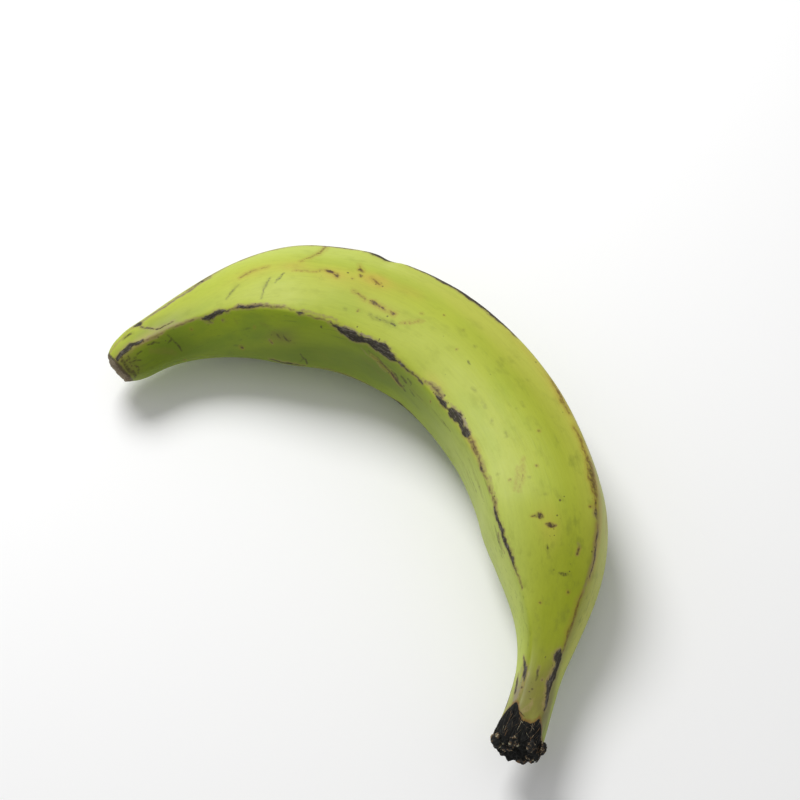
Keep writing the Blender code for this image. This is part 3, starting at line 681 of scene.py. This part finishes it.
def makeSkin():
    along, round = makeGrid()
    radius = skinRadius(along, round)
    turn = np.radians(round)
    marks = ("black", "brown", "ochre", "spot", "scratch", "tan", "olive", "pink", "dots")
    fields = {kind: markField(kind, along, round, radius) for kind in marks}
    fields["crown"] = along - smoothCurve(crownBorder, round % 360)
    fields["tip"] = smoothCurve(tipBorder, round % 360) - along

    # Fine relief: low ripples, scars a little proud, and torn fibres on the dried ends.
    ripple = np.sin(along / 9.1 + 2.1 * np.sin(turn)) * np.sin(along / 23.0 + 3 * turn + 1)
    ripple += 0.6 * np.sin(along / 5.3 + 5 * turn) * np.sin(along / 14.0 - 2 * turn)
    calm = np.clip((along - 6) / 20, 0, 1) * np.clip((284 - along) / 20, 0, 1)
    scars = np.clip(fields["black"] / 0.6, 0, 1)
    fine = calm * (skinFinish["ripple"] * ripple + skinFinish["scarRise"] * scars)
    straight = np.stack([along, radius * np.cos(turn), radius * np.sin(turn)], -1)
    dried = (("crown", 2.5, "barkFibre", "barkSize", skinFinish["barkStretch"]),
             ("tip", 1.5, "tipCrumple", "tipSize", 1))
    for end, fade, height, size, stretch in dried:
        share = np.clip(fields[end] / fade, 0, 1)
        rows = np.flatnonzero(share.max(axis=1) > 0)
        spots = (straight[rows] / (stretch, 1, 1)).reshape(-1, 3)
        crumple = crumpleAt(spots, skinFinish[size]).reshape(len(rows), -1)
        fine[rows] += skinFinish[height] * crumple * share[rows]
    lean = skinFinish["tipLean"] * np.maximum(np.cos(turn - math.radians(125)), -0.3)
    forwardBy = -lean * np.clip(1 - (along - along[:1]) / skinFinish["tipLeanReach"], 0, 1) ** 2
    body = skinPoints(along, round, radius + fine, forwardBy)
    body[..., 2] = np.maximum(body[..., 2], 0)

    tipRings = makeEndFace("tip", along, round, radius, fine, forwardBy[0])[::-1]
    crownRings = makeEndFace("crown", along, round, radius, fine, 0)
    tipEnd, crownEnd = ([ring["points"] for ring in rings] for rings in (tipRings, crownRings))
    points = np.concatenate([tipEnd, body, crownEnd])
    places = [[ring["straight"] for ring in tipRings], straight, [ring["straight"] for ring in crownRings]]
    rows, count = points.shape[:2]
    faces = []
    for row in range(rows - 1):
        for column in range(count):
            here, there = row * count + column, row * count + (column + 1) % count
            faces.append((here, there, there + count, here + count))
    skin = addMesh("plantainSkin", points.reshape(-1, 3), faces)
    addField(skin, "straight", np.concatenate(places).reshape(-1, 3))

    # Marks stop at the rims; the dried ends go on over the end faces.
    inset = np.array([ring["inset"] for ring in crownRings])
    for kind, field in fields.items():
        atTip = fields["tip"][0] + inset[::-1] if kind == "tip" else np.full(inset.shape, farOutside)
        atCrown = fields["crown"][-1] + inset if kind == "crown" else np.full(inset.shape, farOutside)
        addField(skin, "field_" + kind, np.concatenate([atTip, field, atCrown]).ravel())
    ridges = ridgeAngles(along)
    fromRidge = np.minimum(turnBetween(round, ridges[0]), turnBetween(ridges[1], round)) * np.radians(radius)
    soft = {"wash_" + kind: washField(kind, along, round) for kind in washes}
    soft["topness"] = fromRidge
    for kind, field in soft.items():
        ends = [np.repeat(field[row][None], len(inset), 0) for row in (0, -1)]
        addField(skin, "field_" + kind, np.concatenate([ends[0], field, ends[1]]).ravel())

    # The last ring of each end face is one point.
    tidy = bmesh.new()
    tidy.from_mesh(skin.data)
    tidy.verts.ensure_lookup_table()
    for ring in (tidy.verts[:count], tidy.verts[-count:]):
        bmesh.ops.pointmerge(tidy, verts=ring, merge_co=ring[0].co.copy())
    bmesh.ops.recalc_face_normals(tidy, faces=tidy.faces)
    tidy.to_mesh(skin.data)
    tidy.free()
    skin.data.shade_smooth()
    return skin


print("plantain: lofting the skin")
skin = makeSkin()
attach(skin, "root")
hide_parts("plantain")
skin.data.calc_loop_triangles()
print("plantain: skin has", len(skin.data.loop_triangles), "triangles")

crownKnobs = {
    # Along, round, share of the radius, radius, stretch along the fruit.
    "places": [
        (298.8, 158, 0.92, 2.2, 1.10), (299.2, 148, 0.46, 1.9, 0.90), (298.7, 98, 0.80, 1.8, 1.10),
        (298.2, 52, 0.90, 1.7, 1.30), (296.4, 12, 1.03, 1.7, 1.10), (298.4, 352, 0.74, 1.9, 1.20),
        (298.2, 288, 0.92, 1.9, 1.00), (298.0, 228, 0.87, 1.8, 0.95),
    ],
    "sink": 0.15,
    "dent": 0.15,
    "crumple": 0.2,       # share of the radius
    "crumpleSize": 0.5,
}


def spotOn(place, angle, share=1.0, lift=0.0):
    # A point on the skin or beyond the rim.
    base = min(place, fruitShape["crownRim"])
    reach = share * float(skinRadius(np.array([base]), np.array([float(angle)]))[0]) + lift
    middle, outward, upward, forward = directionsAt(base)
    turn = math.radians(angle)
    away = outward * math.cos(turn) + upward * math.sin(turn) * fruitShape["heightShare"]
    return middle + away * reach + forward * max(place - fruitShape["crownRim"], 0)


def makeKnobs():
    points, faces, shades = [], [], []
    for place, angle, share, size, stretch in crownKnobs["places"]:
        centre = spotOn(place, angle, share, -crownKnobs["sink"] * size)
        _, outward, upward, forward = directionsAt(min(place, fruitShape["crownRim"]))
        ball = bmesh.new()
        bmesh.ops.create_icosphere(ball, subdivisions=5, radius=1.0)
        first = len(points)
        for vert in ball.verts:
            x, y, z = vert.co
            dent = 1 + crownKnobs["dent"] * (math.sin(4.1 * x + angle) + math.sin(5.3 * y + 2.2 * z + place))
            spot = vert.co / crownKnobs["crumpleSize"] + Vector((angle, place, 0))
            crumple = noise.fractal(spot, 0.7, 2.2, 5)
            dent += crownKnobs["crumple"] * crumple
            local = outward * x + upward * y + forward * z * stretch
            points.append(centre + local * size * dent)
            shades.append(crumple)
        faces += [[first + vert.index for vert in face.verts] for face in ball.faces]
        ball.free()
    knobs = addMesh("crownKnobs", points, faces)
    addField(knobs, "straight", points)
    addField(knobs, "field_shade", shades)
    return knobs


print("plantain: making the crown's knobs")
knobs = makeKnobs()
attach(knobs, "root")

crownFibres = {
    "count": 260,
    "from": (286, 297),        # where a fibre starts, along the fruit
    "length": (2.5, 7.0),
    "thickness": (0.10, 0.30),
    "lean": 24,                # degrees off the fruit's own direction
    "lift": (-0.12, 0.35),
    "overhang": 0.8,
    "sides": 5,
    "steps": 9,
    "seed": 8,
}


def addStrand(points, faces, path, widths, sides):
    # A tapering tube along a path; both ends close in a point.
    first = len(points)
    path = np.asarray(path)
    way = np.gradient(path, axis=0)
    way /= np.linalg.norm(way, axis=1)[:, None]
    side = np.cross(way, np.array([0.31, 0.2, 0.93]))
    side /= np.linalg.norm(side, axis=1)[:, None]
    other = np.cross(way, side)
    for step in range(1, len(path) - 1):
        for k in range(sides):
            turn = 2 * math.pi * k / sides
            away = side[step] * math.cos(turn) + other[step] * math.sin(turn)
            points.append(path[step] + widths[step] * away)
    start, end = len(points), len(points) + 1
    points += [path[0], path[-1]]
    last = first + (len(path) - 3) * sides
    for ring in range(first, last, sides):
        for k in range(sides):
            after = (k + 1) % sides
            faces.append((ring + k, ring + after, ring + sides + after, ring + sides + k))
    for k in range(sides):
        after = (k + 1) % sides
        faces.append((start, first + after, first + k))
        faces.append((end, last + k, last + after))


def makeFibres():
    draw = random.Random(crownFibres["seed"])
    points, faces, shades = [], [], []
    for _ in range(crownFibres["count"]):
        place = draw.uniform(*crownFibres["from"])
        angle = draw.uniform(0, 360)
        place = max(place, float(smoothCurve(crownBorder, angle)) + 0.3)
        length = draw.uniform(*crownFibres["length"])
        lean = math.radians(draw.gauss(0, crownFibres["lean"]))
        thick = draw.uniform(*crownFibres["thickness"]) * 0.5
        low, high = crownFibres["lift"]
        bend = draw.gauss(0, 0.3)
        shade = draw.random()
        path, widths = [], []
        for step in range(crownFibres["steps"]):
            part = step / (crownFibres["steps"] - 1)
            run = length * part
            swing = lean + bend * part
            at = min(place + run * math.cos(swing), fruitShape["crownRim"] + crownFibres["overhang"])
            turned = angle + math.degrees(run * math.sin(swing) / 8.5)
            lift = low + (high - low) * (math.sin(math.pi * part) * 0.5 + part * part * 0.5)
            path.append(spotOn(at + 0.02 * step, turned, 1.0, lift + 0.12 * math.sin(5 * part + place)))
            widths.append(thick * (0.35 + 0.65 * math.sin(math.pi * min(part * 1.15, 1))))
        before = len(points)
        addStrand(points, faces, path, widths, crownFibres["sides"])
        shades += [shade] * (len(points) - before)
    fibres = addMesh("crownFibres", points, faces)
    addField(fibres, "straight", points)
    addField(fibres, "field_shade", shades)
    return fibres


print("plantain: laying the crown's fibres")
fibres = makeFibres()
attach(fibres, "root")


def addNode(tree, kind, inputs=None, **settings):
    node = tree.nodes.new(kind)
    for key, value in settings.items():
        setattr(node, key, value)
    for key, value in (inputs or {}).items():
        socket = node.inputs[key]
        if isinstance(value, bpy.types.NodeSocket):
            tree.links.new(value, socket)
        else:
            socket.default_value = value
    return node


def calculate(tree, operation, *values, clamp=False):
    inputs = dict(enumerate(values))
    return addNode(tree, "ShaderNodeMath", inputs, operation=operation, use_clamp=clamp).outputs[0]


def fadeBetween(tree, value, low, high):
    # 0 below the low value, 1 above the high one, smooth between them.
    inputs = {"Value": value, "From Min": low, "From Max": high}
    return addNode(tree, "ShaderNodeMapRange", inputs, interpolation_type="SMOOTHSTEP").outputs["Result"]


def layColour(tree, under, over, mask, blend="MIX"):
    inputs = {"Factor": mask, 6: under, 7: over}
    mixed = addNode(tree, "ShaderNodeMix", inputs, data_type="RGBA", blend_type=blend, clamp_factor=True)
    return mixed.outputs[2]


def startGroup(name, inputs, outputs):
    group = bpy.data.node_groups.new(name, "ShaderNodeTree")
    for label, kind, value in inputs:
        socket = group.interface.new_socket(name=label, in_out="INPUT", socket_type="NodeSocket" + kind)
        if value is not None:
            socket.default_value = value
    for label, kind in outputs:
        group.interface.new_socket(name=label, in_out="OUTPUT", socket_type="NodeSocket" + kind)
    return group, group.nodes.new("NodeGroupInput").outputs, group.nodes.new("NodeGroupOutput").inputs


def useGroup(tree, group, inputs):
    return addNode(tree, "ShaderNodeGroup", inputs, node_tree=group).outputs


def stretched(tree, place, alongShare, size):
    # Places for a pattern of this size, drawn out along the fruit.
    inputs = {0: place, 1: (alongShare / size, 1 / size, 1 / size)}
    return addNode(tree, "ShaderNodeVectorMath", inputs, operation="MULTIPLY").outputs[0]


def noiseAt(tree, vector, detail, roughness, seed):
    inputs = {"Vector": vector, "W": seed, "Scale": 1.0, "Detail": detail, "Roughness": roughness}
    return addNode(tree, "ShaderNodeTexNoise", inputs, noise_dimensions="4D").outputs["Fac"]


def makeEdgeWaves():
    # Uneven waves, drawn out along the fruit, that fray the edges of the marks.
    group, given, result = startGroup(
        "edgeWaves", [("Place", "Vector", None)],
        [("Coarse", "Float"), ("Fine", "Float"), ("Hair", "Float"), ("Wear", "Float")])
    sizes = (("Coarse", 0.5, 1.9, 1), ("Fine", 0.32, 0.7, 2), ("Hair", 0.22, 0.24, 3), ("Wear", 0.6, 0.8, 4))
    for label, alongShare, size, seed in sizes:
        wave = noiseAt(group, stretched(group, given["Place"], alongShare, size), 3, 0.62, seed)
        wave = calculate(group, "MULTIPLY", calculate(group, "SUBTRACT", wave, 0.5), 4.0)
        group.links.new(wave, result[label])
    return group


def makeFrayedMask():
    # A mark with a frayed edge, worn thin in places. The field says how far inside it a point lies.
    group, given, result = startGroup(
        "frayedMask",
        [("Field", "Float", 0), ("Coarse", "Float", 0), ("Fine", "Float", 0), ("Hair", "Float", 0),
         ("Wear", "Float", 0), ("Fray", "Float", 0.5), ("Edge", "Float", 0), ("Softness", "Float", 0.25),
         ("Worn", "Float", 0)],
        [("Mask", "Float")],
    )
    depth = calculate(group, "SUBTRACT", given["Field"], given["Edge"])
    depth = calculate(group, "MULTIPLY_ADD", given["Coarse"], given["Fray"], depth)
    for wave, share in (("Fine", 0.8), ("Hair", 0.5)):
        reach = calculate(group, "MULTIPLY", given["Fray"], share)
        depth = calculate(group, "MULTIPLY_ADD", given[wave], reach, depth)
    low = calculate(group, "MULTIPLY", given["Softness"], -1.0)
    cover = fadeBetween(group, depth, low, given["Softness"])
    thin = calculate(group, "MULTIPLY", fadeBetween(group, given["Wear"], -0.5, 0.7), given["Worn"])
    kept = calculate(group, "SUBTRACT", 1.0, thin)
    group.links.new(calculate(group, "MULTIPLY", cover, kept), result["Mask"])
    return group


def makeScatteredSpecks():
    # Small dots, one in some of the cells of a pattern.
    group, given, result = startGroup(
        "scatteredSpecks",
        [("Place", "Vector", None), ("Spacing", "Float", 6.0), ("Size", "Float", 0.08),
         ("Share", "Float", 0.3), ("Seed", "Float", 0)],
        [("Mask", "Float")],
    )
    scaled = addNode(group, "ShaderNodeVectorMath", {0: given["Place"]}, operation="SCALE")
    group.links.new(calculate(group, "DIVIDE", 1.0, given["Spacing"]), scaled.inputs["Scale"])
    bent = addNode(group, "ShaderNodeTexNoise", {"Vector": scaled.outputs[0], "Scale": 9.0, "Detail": 1.0})
    wobble = calculate(group, "MULTIPLY", calculate(group, "SUBTRACT", bent.outputs["Fac"], 0.5), 0.1)
    inputs = {"Vector": scaled.outputs[0], "W": given["Seed"], "Scale": 1.0}
    cells = addNode(group, "ShaderNodeTexVoronoi", inputs, voronoi_dimensions="4D")
    chance = addNode(group, "ShaderNodeSeparateColor", {"Color": cells.outputs["Color"]})
    chosen = calculate(group, "LESS_THAN", chance.outputs[0], given["Share"])
    size = calculate(group, "MULTIPLY", given["Size"], calculate(group, "ADD", 0.4, chance.outputs[1]))
    near = calculate(group, "SUBTRACT", size, calculate(group, "ADD", cells.outputs["Distance"], wobble))
    soft = fadeBetween(group, near, 0.0, 0.02)
    group.links.new(calculate(group, "MULTIPLY", soft, chosen), result["Mask"])
    return group


def makeLengthwiseGrain():
    # Fine streaks that run along the fruit.
    group, given, result = startGroup(
        "lengthwiseGrain",
        [("Place", "Vector", None), ("Size", "Float", 1.0), ("Stretch", "Float", 0.08), ("Seed", "Float", 0)],
        [("Value", "Float")],
    )
    drawn = addNode(group, "ShaderNodeCombineXYZ", {"X": given["Stretch"], "Y": 1.0, "Z": 1.0}).outputs[0]
    drawn = addNode(group, "ShaderNodeVectorMath", {0: given["Place"], 1: drawn}, operation="MULTIPLY")
    scaled = addNode(group, "ShaderNodeVectorMath", {0: drawn.outputs[0]}, operation="SCALE")
    group.links.new(calculate(group, "DIVIDE", 1.0, given["Size"]), scaled.inputs["Scale"])
    group.links.new(noiseAt(group, scaled.outputs[0], 4, 0.6, given["Seed"]), result["Value"])
    return group


print("plantain: building the shader groups")
edgeWaves = makeEdgeWaves()
frayedMask = makeFrayedMask()
scatteredSpecks = makeScatteredSpecks()
lengthwiseGrain = makeLengthwiseGrain()


def grainAt(tree, place, size, stretch, seed):
    inputs = {"Place": place, "Size": size, "Stretch": stretch, "Seed": seed}
    return useGroup(tree, lengthwiseGrain, inputs)["Value"]


def shade(red, green, blue):
    # A colour given in everyday 0 to 255 values.
    def linear(part):
        return part / 12.92 if part <= 0.04045 else ((part + 0.055) / 1.055) ** 2.4

    return tuple(linear(value / 255) for value in (red, green, blue)) + (1.0,)


skinColours = {
    "upperFace": shade(174, 185, 58),
    "upperGreen": shade(158, 176, 52),
    "otherFaces": shade(138, 157, 22),
    "otherGreen": shade(118, 141, 30),
    # Partly a greyish bloom, partly painted light.
    "pale": shade(184, 197, 94),
    # Dark green, partly painted shade.
    "deepGreenAndPaintedShade": shade(90, 110, 10),
    "olive": shade(140, 150, 6),
    "gold": shade(190, 166, 66),
    "dun": shade(114, 101, 56),
    "smudge": shade(122, 130, 34),
    "hairline": shade(88, 100, 30),
    "speck": shade(84, 84, 34),
    "oliveMark": shade(118, 120, 38),
    "tanMark": shade(148, 132, 82),
    "ochreRim": shade(158, 134, 48),
    "ochreMark": shade(110, 80, 28),
    "brownMark": shade(104, 86, 50),
    "brownDark": shade(64, 50, 34),
    "blackMark": shade(46, 42, 40),
    "blackMarkPale": shade(110, 104, 97),
    "pinkMark": shade(140, 126, 112),
    "dot": shade(78, 66, 30),
    "spotMark": shade(78, 58, 28),
    "scratchMark": shade(64, 58, 20),
    # Yellowing, partly painted light.
    "strawAndPaintedLight": shade(186, 188, 78),
    "rust": shade(118, 78, 30),
    "crownBlack": shade(17, 17, 15),
    "crownPale": shade(78, 80, 68),
    "tipEdge": shade(74, 60, 42),
    "tipBrown": shade(104, 90, 70),
    "tipPale": shade(150, 138, 116),
}

skinMarks = {
    "waxShine": 0.3,
    "worn": 0.65,            # how thin a mark gets where it is most worn
    # Kind, fray, where its edge lies in millimetres, softness, strength and colour, from the lowest layer.
    "layers": [
        ("olive", 0.3, 0.0, 0.8, 0.6, "oliveMark"),
        ("tan", 0.28, 0.0, 0.5, 0.75, "tanMark"),
        ("ochre", 0.30, -0.9, 0.7, 0.45, "ochreRim"),
        ("brown", 0.30, -0.4, 0.4, 0.45, "tanMark"),
        ("black", 0.45, -0.7, 0.5, 0.5, "tanMark"),
        ("spot", 0.12, -0.45, 0.45, 0.5, "ochreRim"),
        ("pink", 0.20, 0.0, 0.3, 0.85, "pinkMark"),
        ("ochre", 0.25, 0.0, 0.3, 0.8, "ochreMark"),
        ("ochre", 0.30, 0.75, 0.3, 0.5, "brownDark"),
        ("brown", 0.25, 0.0, 0.3, 0.75, "brownMark"),
        ("brown", 0.35, 0.45, 0.3, 0.6, "brownDark"),
        ("spot", 0.2, 0.0, 0.3, 1.0, "spotMark"),
        ("spot", 0.2, 0.35, 0.3, 0.5, "brownDark"),
        ("scratch", 0.18, -0.05, 0.3, 0.85, "scratchMark"),
        ("black", 0.35, -0.15, 0.3, 0.7, "brownMark"),
    ],
    # Spacing, size as a share of it, share of cells, seed and strength.
    "specks": [(5.5, 0.07, 0.25, 1, 0.7), (11.0, 0.055, 0.4, 5, 0.85), (2.6, 0.10, 0.14, 9, 0.35)],
    "dotSpacing": 1.15,
    "dotSize": 0.34,
}


def makeSkinMaterial():
    material = bpy.data.materials.new("plantainSkin")
    material.use_nodes = True
    tree = material.node_tree
    shader = tree.nodes["Principled BSDF"]
    colours = skinColours

    def field(name):
        return addNode(tree, "ShaderNodeAttribute", attribute_name="field_" + name).outputs["Fac"]

    place = addNode(tree, "ShaderNodeAttribute", attribute_name="straight").outputs["Vector"]
    waves = useGroup(tree, edgeWaves, {"Place": place})
    marks = ("black", "brown", "ochre", "spot", "scratch", "tan", "olive", "pink", "crown", "tip")
    fields = {kind: field(kind) for kind in marks}

    def mask(kind, fray, edge, softness, worn=0.0):
        inputs = {"Field": fields[kind], "Fray": fray, "Edge": edge, "Softness": softness, "Worn": worn}
        inputs.update({label: waves[label] for label in ("Coarse", "Fine", "Hair", "Wear")})
        return useGroup(tree, frayedMask, inputs)["Mask"]

    def lay(under, over, cover, strength=1.0):
        if strength != 1.0:
            cover = calculate(tree, "MULTIPLY", cover, strength)
        return layColour(tree, under, colours[over] if isinstance(over, str) else over, cover)

    broad = noiseAt(tree, stretched(tree, place, 0.35, 12), 3, 0.5, 1.0)
    patchy = noiseAt(tree, stretched(tree, place, 0.5, 4.0), 4, 0.62, 2.0)
    grain = grainAt(tree, place, 1.3, 0.06, 3.0)
    fineGrain = grainAt(tree, place, 0.42, 0.16, 4.0)

    # The broad upper face is lighter and yellower; the others are a darker green.
    edge = calculate(tree, "MULTIPLY_ADD", calculate(tree, "SUBTRACT", broad, 0.5), 2.0, field("topness"))
    upper = fadeBetween(tree, edge, -1.0, 0.9)
    green = fadeBetween(tree, broad, 0.42, 0.72)
    others = lay(colours["otherFaces"], "otherGreen", green)
    colour = lay(others, lay(colours["upperFace"], "upperGreen", green, 0.7), upper)
    washed = {kind: field("wash_" + kind) for kind in washes}
    # The pale and straw washes are partly painted light; the deep wash is partly painted shade.
    for wash in ("deepGreenAndPaintedShade", "pale", "strawAndPaintedLight", "olive", "gold", "dun"):
        wobble = calculate(tree, "MULTIPLY_ADD", patchy if wash in ("gold", "dun") else broad, 1.0, 0.5)
        colour = lay(colour, wash, calculate(tree, "MULTIPLY", washed[wash], wobble, clamp=True))
    smudges = calculate(tree, "MULTIPLY_ADD", washed["olive"], 0.6, 0.2)
    colour = lay(colour, "smudge", calculate(tree, "MULTIPLY", fadeBetween(tree, patchy, 0.5, 0.72), smudges))
    hairs = calculate(tree, "MULTIPLY_ADD", upper, -0.4, 0.55)
    colour = lay(colour, "hairline", calculate(tree, "MULTIPLY", fadeBetween(tree, grain, 0.55, 0.72), hairs))
    tone = calculate(tree, "MULTIPLY_ADD", grain, 0.26, 0.87)
    tone = calculate(tree, "MULTIPLY", tone, calculate(tree, "MULTIPLY_ADD", fineGrain, 0.12, 0.94))
    tone = addNode(tree, "ShaderNodeCombineColor", {0: tone, 1: tone, 2: tone}).outputs[0]
    colour = layColour(tree, colour, tone, 1.0, "MULTIPLY")

    # Specks in some places all over, then the marks.
    for spacing, size, share, seed, strength in skinMarks["specks"]:
        inputs = {"Place": place, "Spacing": spacing, "Size": size, "Share": share, "Seed": seed}
        colour = lay(colour, "speck", useGroup(tree, scatteredSpecks, inputs)["Mask"], strength)
    for kind, fray, edge, softness, strength, over in skinMarks["layers"]:
        colour = lay(colour, over, mask(kind, fray, edge, softness, skinMarks["worn"]), strength)
    share = calculate(tree, "MULTIPLY", fadeBetween(tree, field("dots"), -0.6, 1.2), 0.55)
    spacing, size = skinMarks["dotSpacing"], skinMarks["dotSize"]
    inputs = {"Place": place, "Spacing": spacing, "Size": size, "Share": share, "Seed": 2.0}
    colour = lay(colour, "dot", useGroup(tree, scatteredSpecks, inputs)["Mask"], 0.7)
    black = mask("black", 0.38, 0.15, 0.28)
    streaks = calculate(tree, "MULTIPLY_ADD", waves["Fine"], 0.1, fineGrain)
    streaks = calculate(tree, "MULTIPLY_ADD", waves["Coarse"], 0.08, streaks)
    streaked = lay(colours["blackMark"], "blackMarkPale", fadeBetween(tree, streaks, 0.46, 0.74))
    colour = lay(colour, streaked, black, 0.94)

    # The dried crown, with a rusty fringe, and the dried blossom tip.
    colour = lay(colour, "rust", mask("crown", 0.7, -0.9, 0.8), 0.75)
    crown = mask("crown", 0.5, 0.1, 0.25)
    flecks = calculate(tree, "MULTIPLY_ADD", waves["Hair"], 0.06, fineGrain)
    colour = lay(colour, lay(colours["crownBlack"], "crownPale", fadeBetween(tree, flecks, 0.55, 0.8)), crown)
    colour = lay(colour, "tipEdge", mask("tip", 0.25, 0.0, 0.3), 0.9)
    tip = mask("tip", 0.35, 0.8, 0.35)
    colour = lay(colour, lay(colours["tipBrown"], "tipPale", fadeBetween(tree, patchy, 0.4, 0.62)), tip)
    tree.links.new(colour, shader.inputs["Base Color"])

    dry = calculate(tree, "MAXIMUM", calculate(tree, "MAXIMUM", black, crown), tip)
    gloss = calculate(tree, "MULTIPLY_ADD", patchy, 0.16, 0.38)
    rough = addNode(tree, "ShaderNodeMix", {0: dry, 2: gloss, 3: 0.92}).outputs[0]
    tree.links.new(rough, shader.inputs["Roughness"])
    shader.inputs["Specular IOR Level"].default_value = skinMarks["waxShine"]

    pores = noiseAt(tree, stretched(tree, place, 0.5, 0.35), 3, 0.6, 6.0)
    height = calculate(tree, "MULTIPLY_ADD", pores, 0.25, calculate(tree, "MULTIPLY", grain, 0.5))
    height = calculate(tree, "MULTIPLY_ADD", calculate(tree, "MULTIPLY", dry, fineGrain), 1.6, height)
    bump = addNode(tree, "ShaderNodeBump", {"Height": height, "Distance": 0.00018, "Strength": 0.6})
    tree.links.new(bump.outputs["Normal"], shader.inputs["Normal"])
    return material


driedColours = {
    "black": shade(18, 18, 16),
    "brown": shade(62, 56, 44),
    "rust": shade(106, 78, 50),
    "pale": shade(158, 156, 130),
}


def makeDriedMaterial(name, brownFrom, paleFrom):
    # Dried fibre: black and brown, with pale woody bits.
    material = bpy.data.materials.new(name)
    material.use_nodes = True
    tree = material.node_tree
    shader = tree.nodes["Principled BSDF"]
    place = addNode(tree, "ShaderNodeAttribute", attribute_name="straight").outputs["Vector"]
    bit = addNode(tree, "ShaderNodeAttribute", attribute_name="field_shade").outputs["Fac"]
    grain = grainAt(tree, place, 0.7, 1.0, 2.0)
    tone = calculate(tree, "MULTIPLY_ADD", calculate(tree, "SUBTRACT", grain, 0.5), 1.2, bit)
    colour = driedColours["black"]
    steps = [("brown", brownFrom, 0.25), ("rust", (brownFrom + paleFrom) / 2, 0.2), ("pale", paleFrom, 0.15)]
    for over, low, fade in steps:
        colour = layColour(tree, colour, driedColours[over], fadeBetween(tree, tone, low, low + fade))
    tree.links.new(colour, shader.inputs["Base Color"])
    tree.links.new(calculate(tree, "MULTIPLY_ADD", grain, 0.3, 0.55), shader.inputs["Roughness"])
    shader.inputs["Specular IOR Level"].default_value = skinMarks["waxShine"]
    bump = addNode(tree, "ShaderNodeBump", {"Height": grain, "Distance": 0.0002, "Strength": 0.7})
    tree.links.new(bump.outputs["Normal"], shader.inputs["Normal"])
    return material


print("plantain: making the materials")
skin.data.materials.append(makeSkinMaterial())
knobs.data.materials.append(makeDriedMaterial("crownKnobs", 0.0, 0.5))
fibres.data.materials.append(makeDriedMaterial("crownFibres", 0.45, 0.9))

view = {
    "target": (-21.2, 10.4, 21.5),
    "elevation": 56,
    "azimuth": 48,
    "distance": 800,
    "lens": 100,
}


def makeCamera():
    lens = bpy.data.cameras.new("camera")
    lens.lens = view["lens"]
    lens.sensor_width = 36
    lens.clip_end = 20
    camera = bpy.data.objects.new("camera", lens)
    bpy.context.scene.collection.objects.link(camera)
    tilt, swing = math.radians(view["elevation"]), math.radians(view["azimuth"])
    back = Vector((math.sin(swing) * math.cos(tilt), -math.cos(swing) * math.cos(tilt), math.sin(tilt)))
    camera.location = (Vector(view["target"]) + back * view["distance"]) * mm
    camera.rotation_euler = (math.pi / 2 - tilt, 0, swing)
    bpy.context.scene.camera = camera


studio = {
    "worldStrength": 0.45,
    "keyPower": 7.9,
    "keySize": 0.55,
    "keyFrom": (-0.62, 0.12, 0.80),
    "floorColour": 0.95,
    "floorSize": 5,
}


def makeStudio():
    bpy.context.scene.view_settings.view_transform = "Standard"
    world = bpy.data.worlds.new("studio")
    bpy.context.scene.world = world
    world.use_nodes = True
    background = world.node_tree.nodes["Background"]
    background.inputs["Color"].default_value = (1, 1, 1, 1)
    background.inputs["Strength"].default_value = studio["worldStrength"]
    key = bpy.data.lights.new("keyLight", "AREA")
    key.energy = studio["keyPower"]
    key.shape = "DISK"
    key.size = studio["keySize"]
    keyLight = bpy.data.objects.new("keyLight", key)
    keyLight.location = studio["keyFrom"]
    keyLight.rotation_euler = (-keyLight.location).to_track_quat("-Z", "Y").to_euler()
    bpy.context.scene.collection.objects.link(keyLight)
    side = studio["floorSize"]
    mesh = bpy.data.meshes.new("floor")
    corners = [(-side, -side, 0), (side, -side, 0), (side, side, 0), (-side, side, 0)]
    mesh.from_pydata(corners, [], [(0, 1, 2, 3)])
    floor = bpy.data.objects.new("floor", mesh)
    bpy.context.scene.collection.objects.link(floor)
    material = bpy.data.materials.new("paleFloor")
    material.use_nodes = True
    shader = material.node_tree.nodes["Principled BSDF"]
    shader.inputs["Base Color"].default_value = (studio["floorColour"],) * 3 + (1,)
    shader.inputs["Roughness"].default_value = 0.9
    mesh.materials.append(material)


print("plantain: setting up the camera and studio")
makeCamera()
makeStudio()
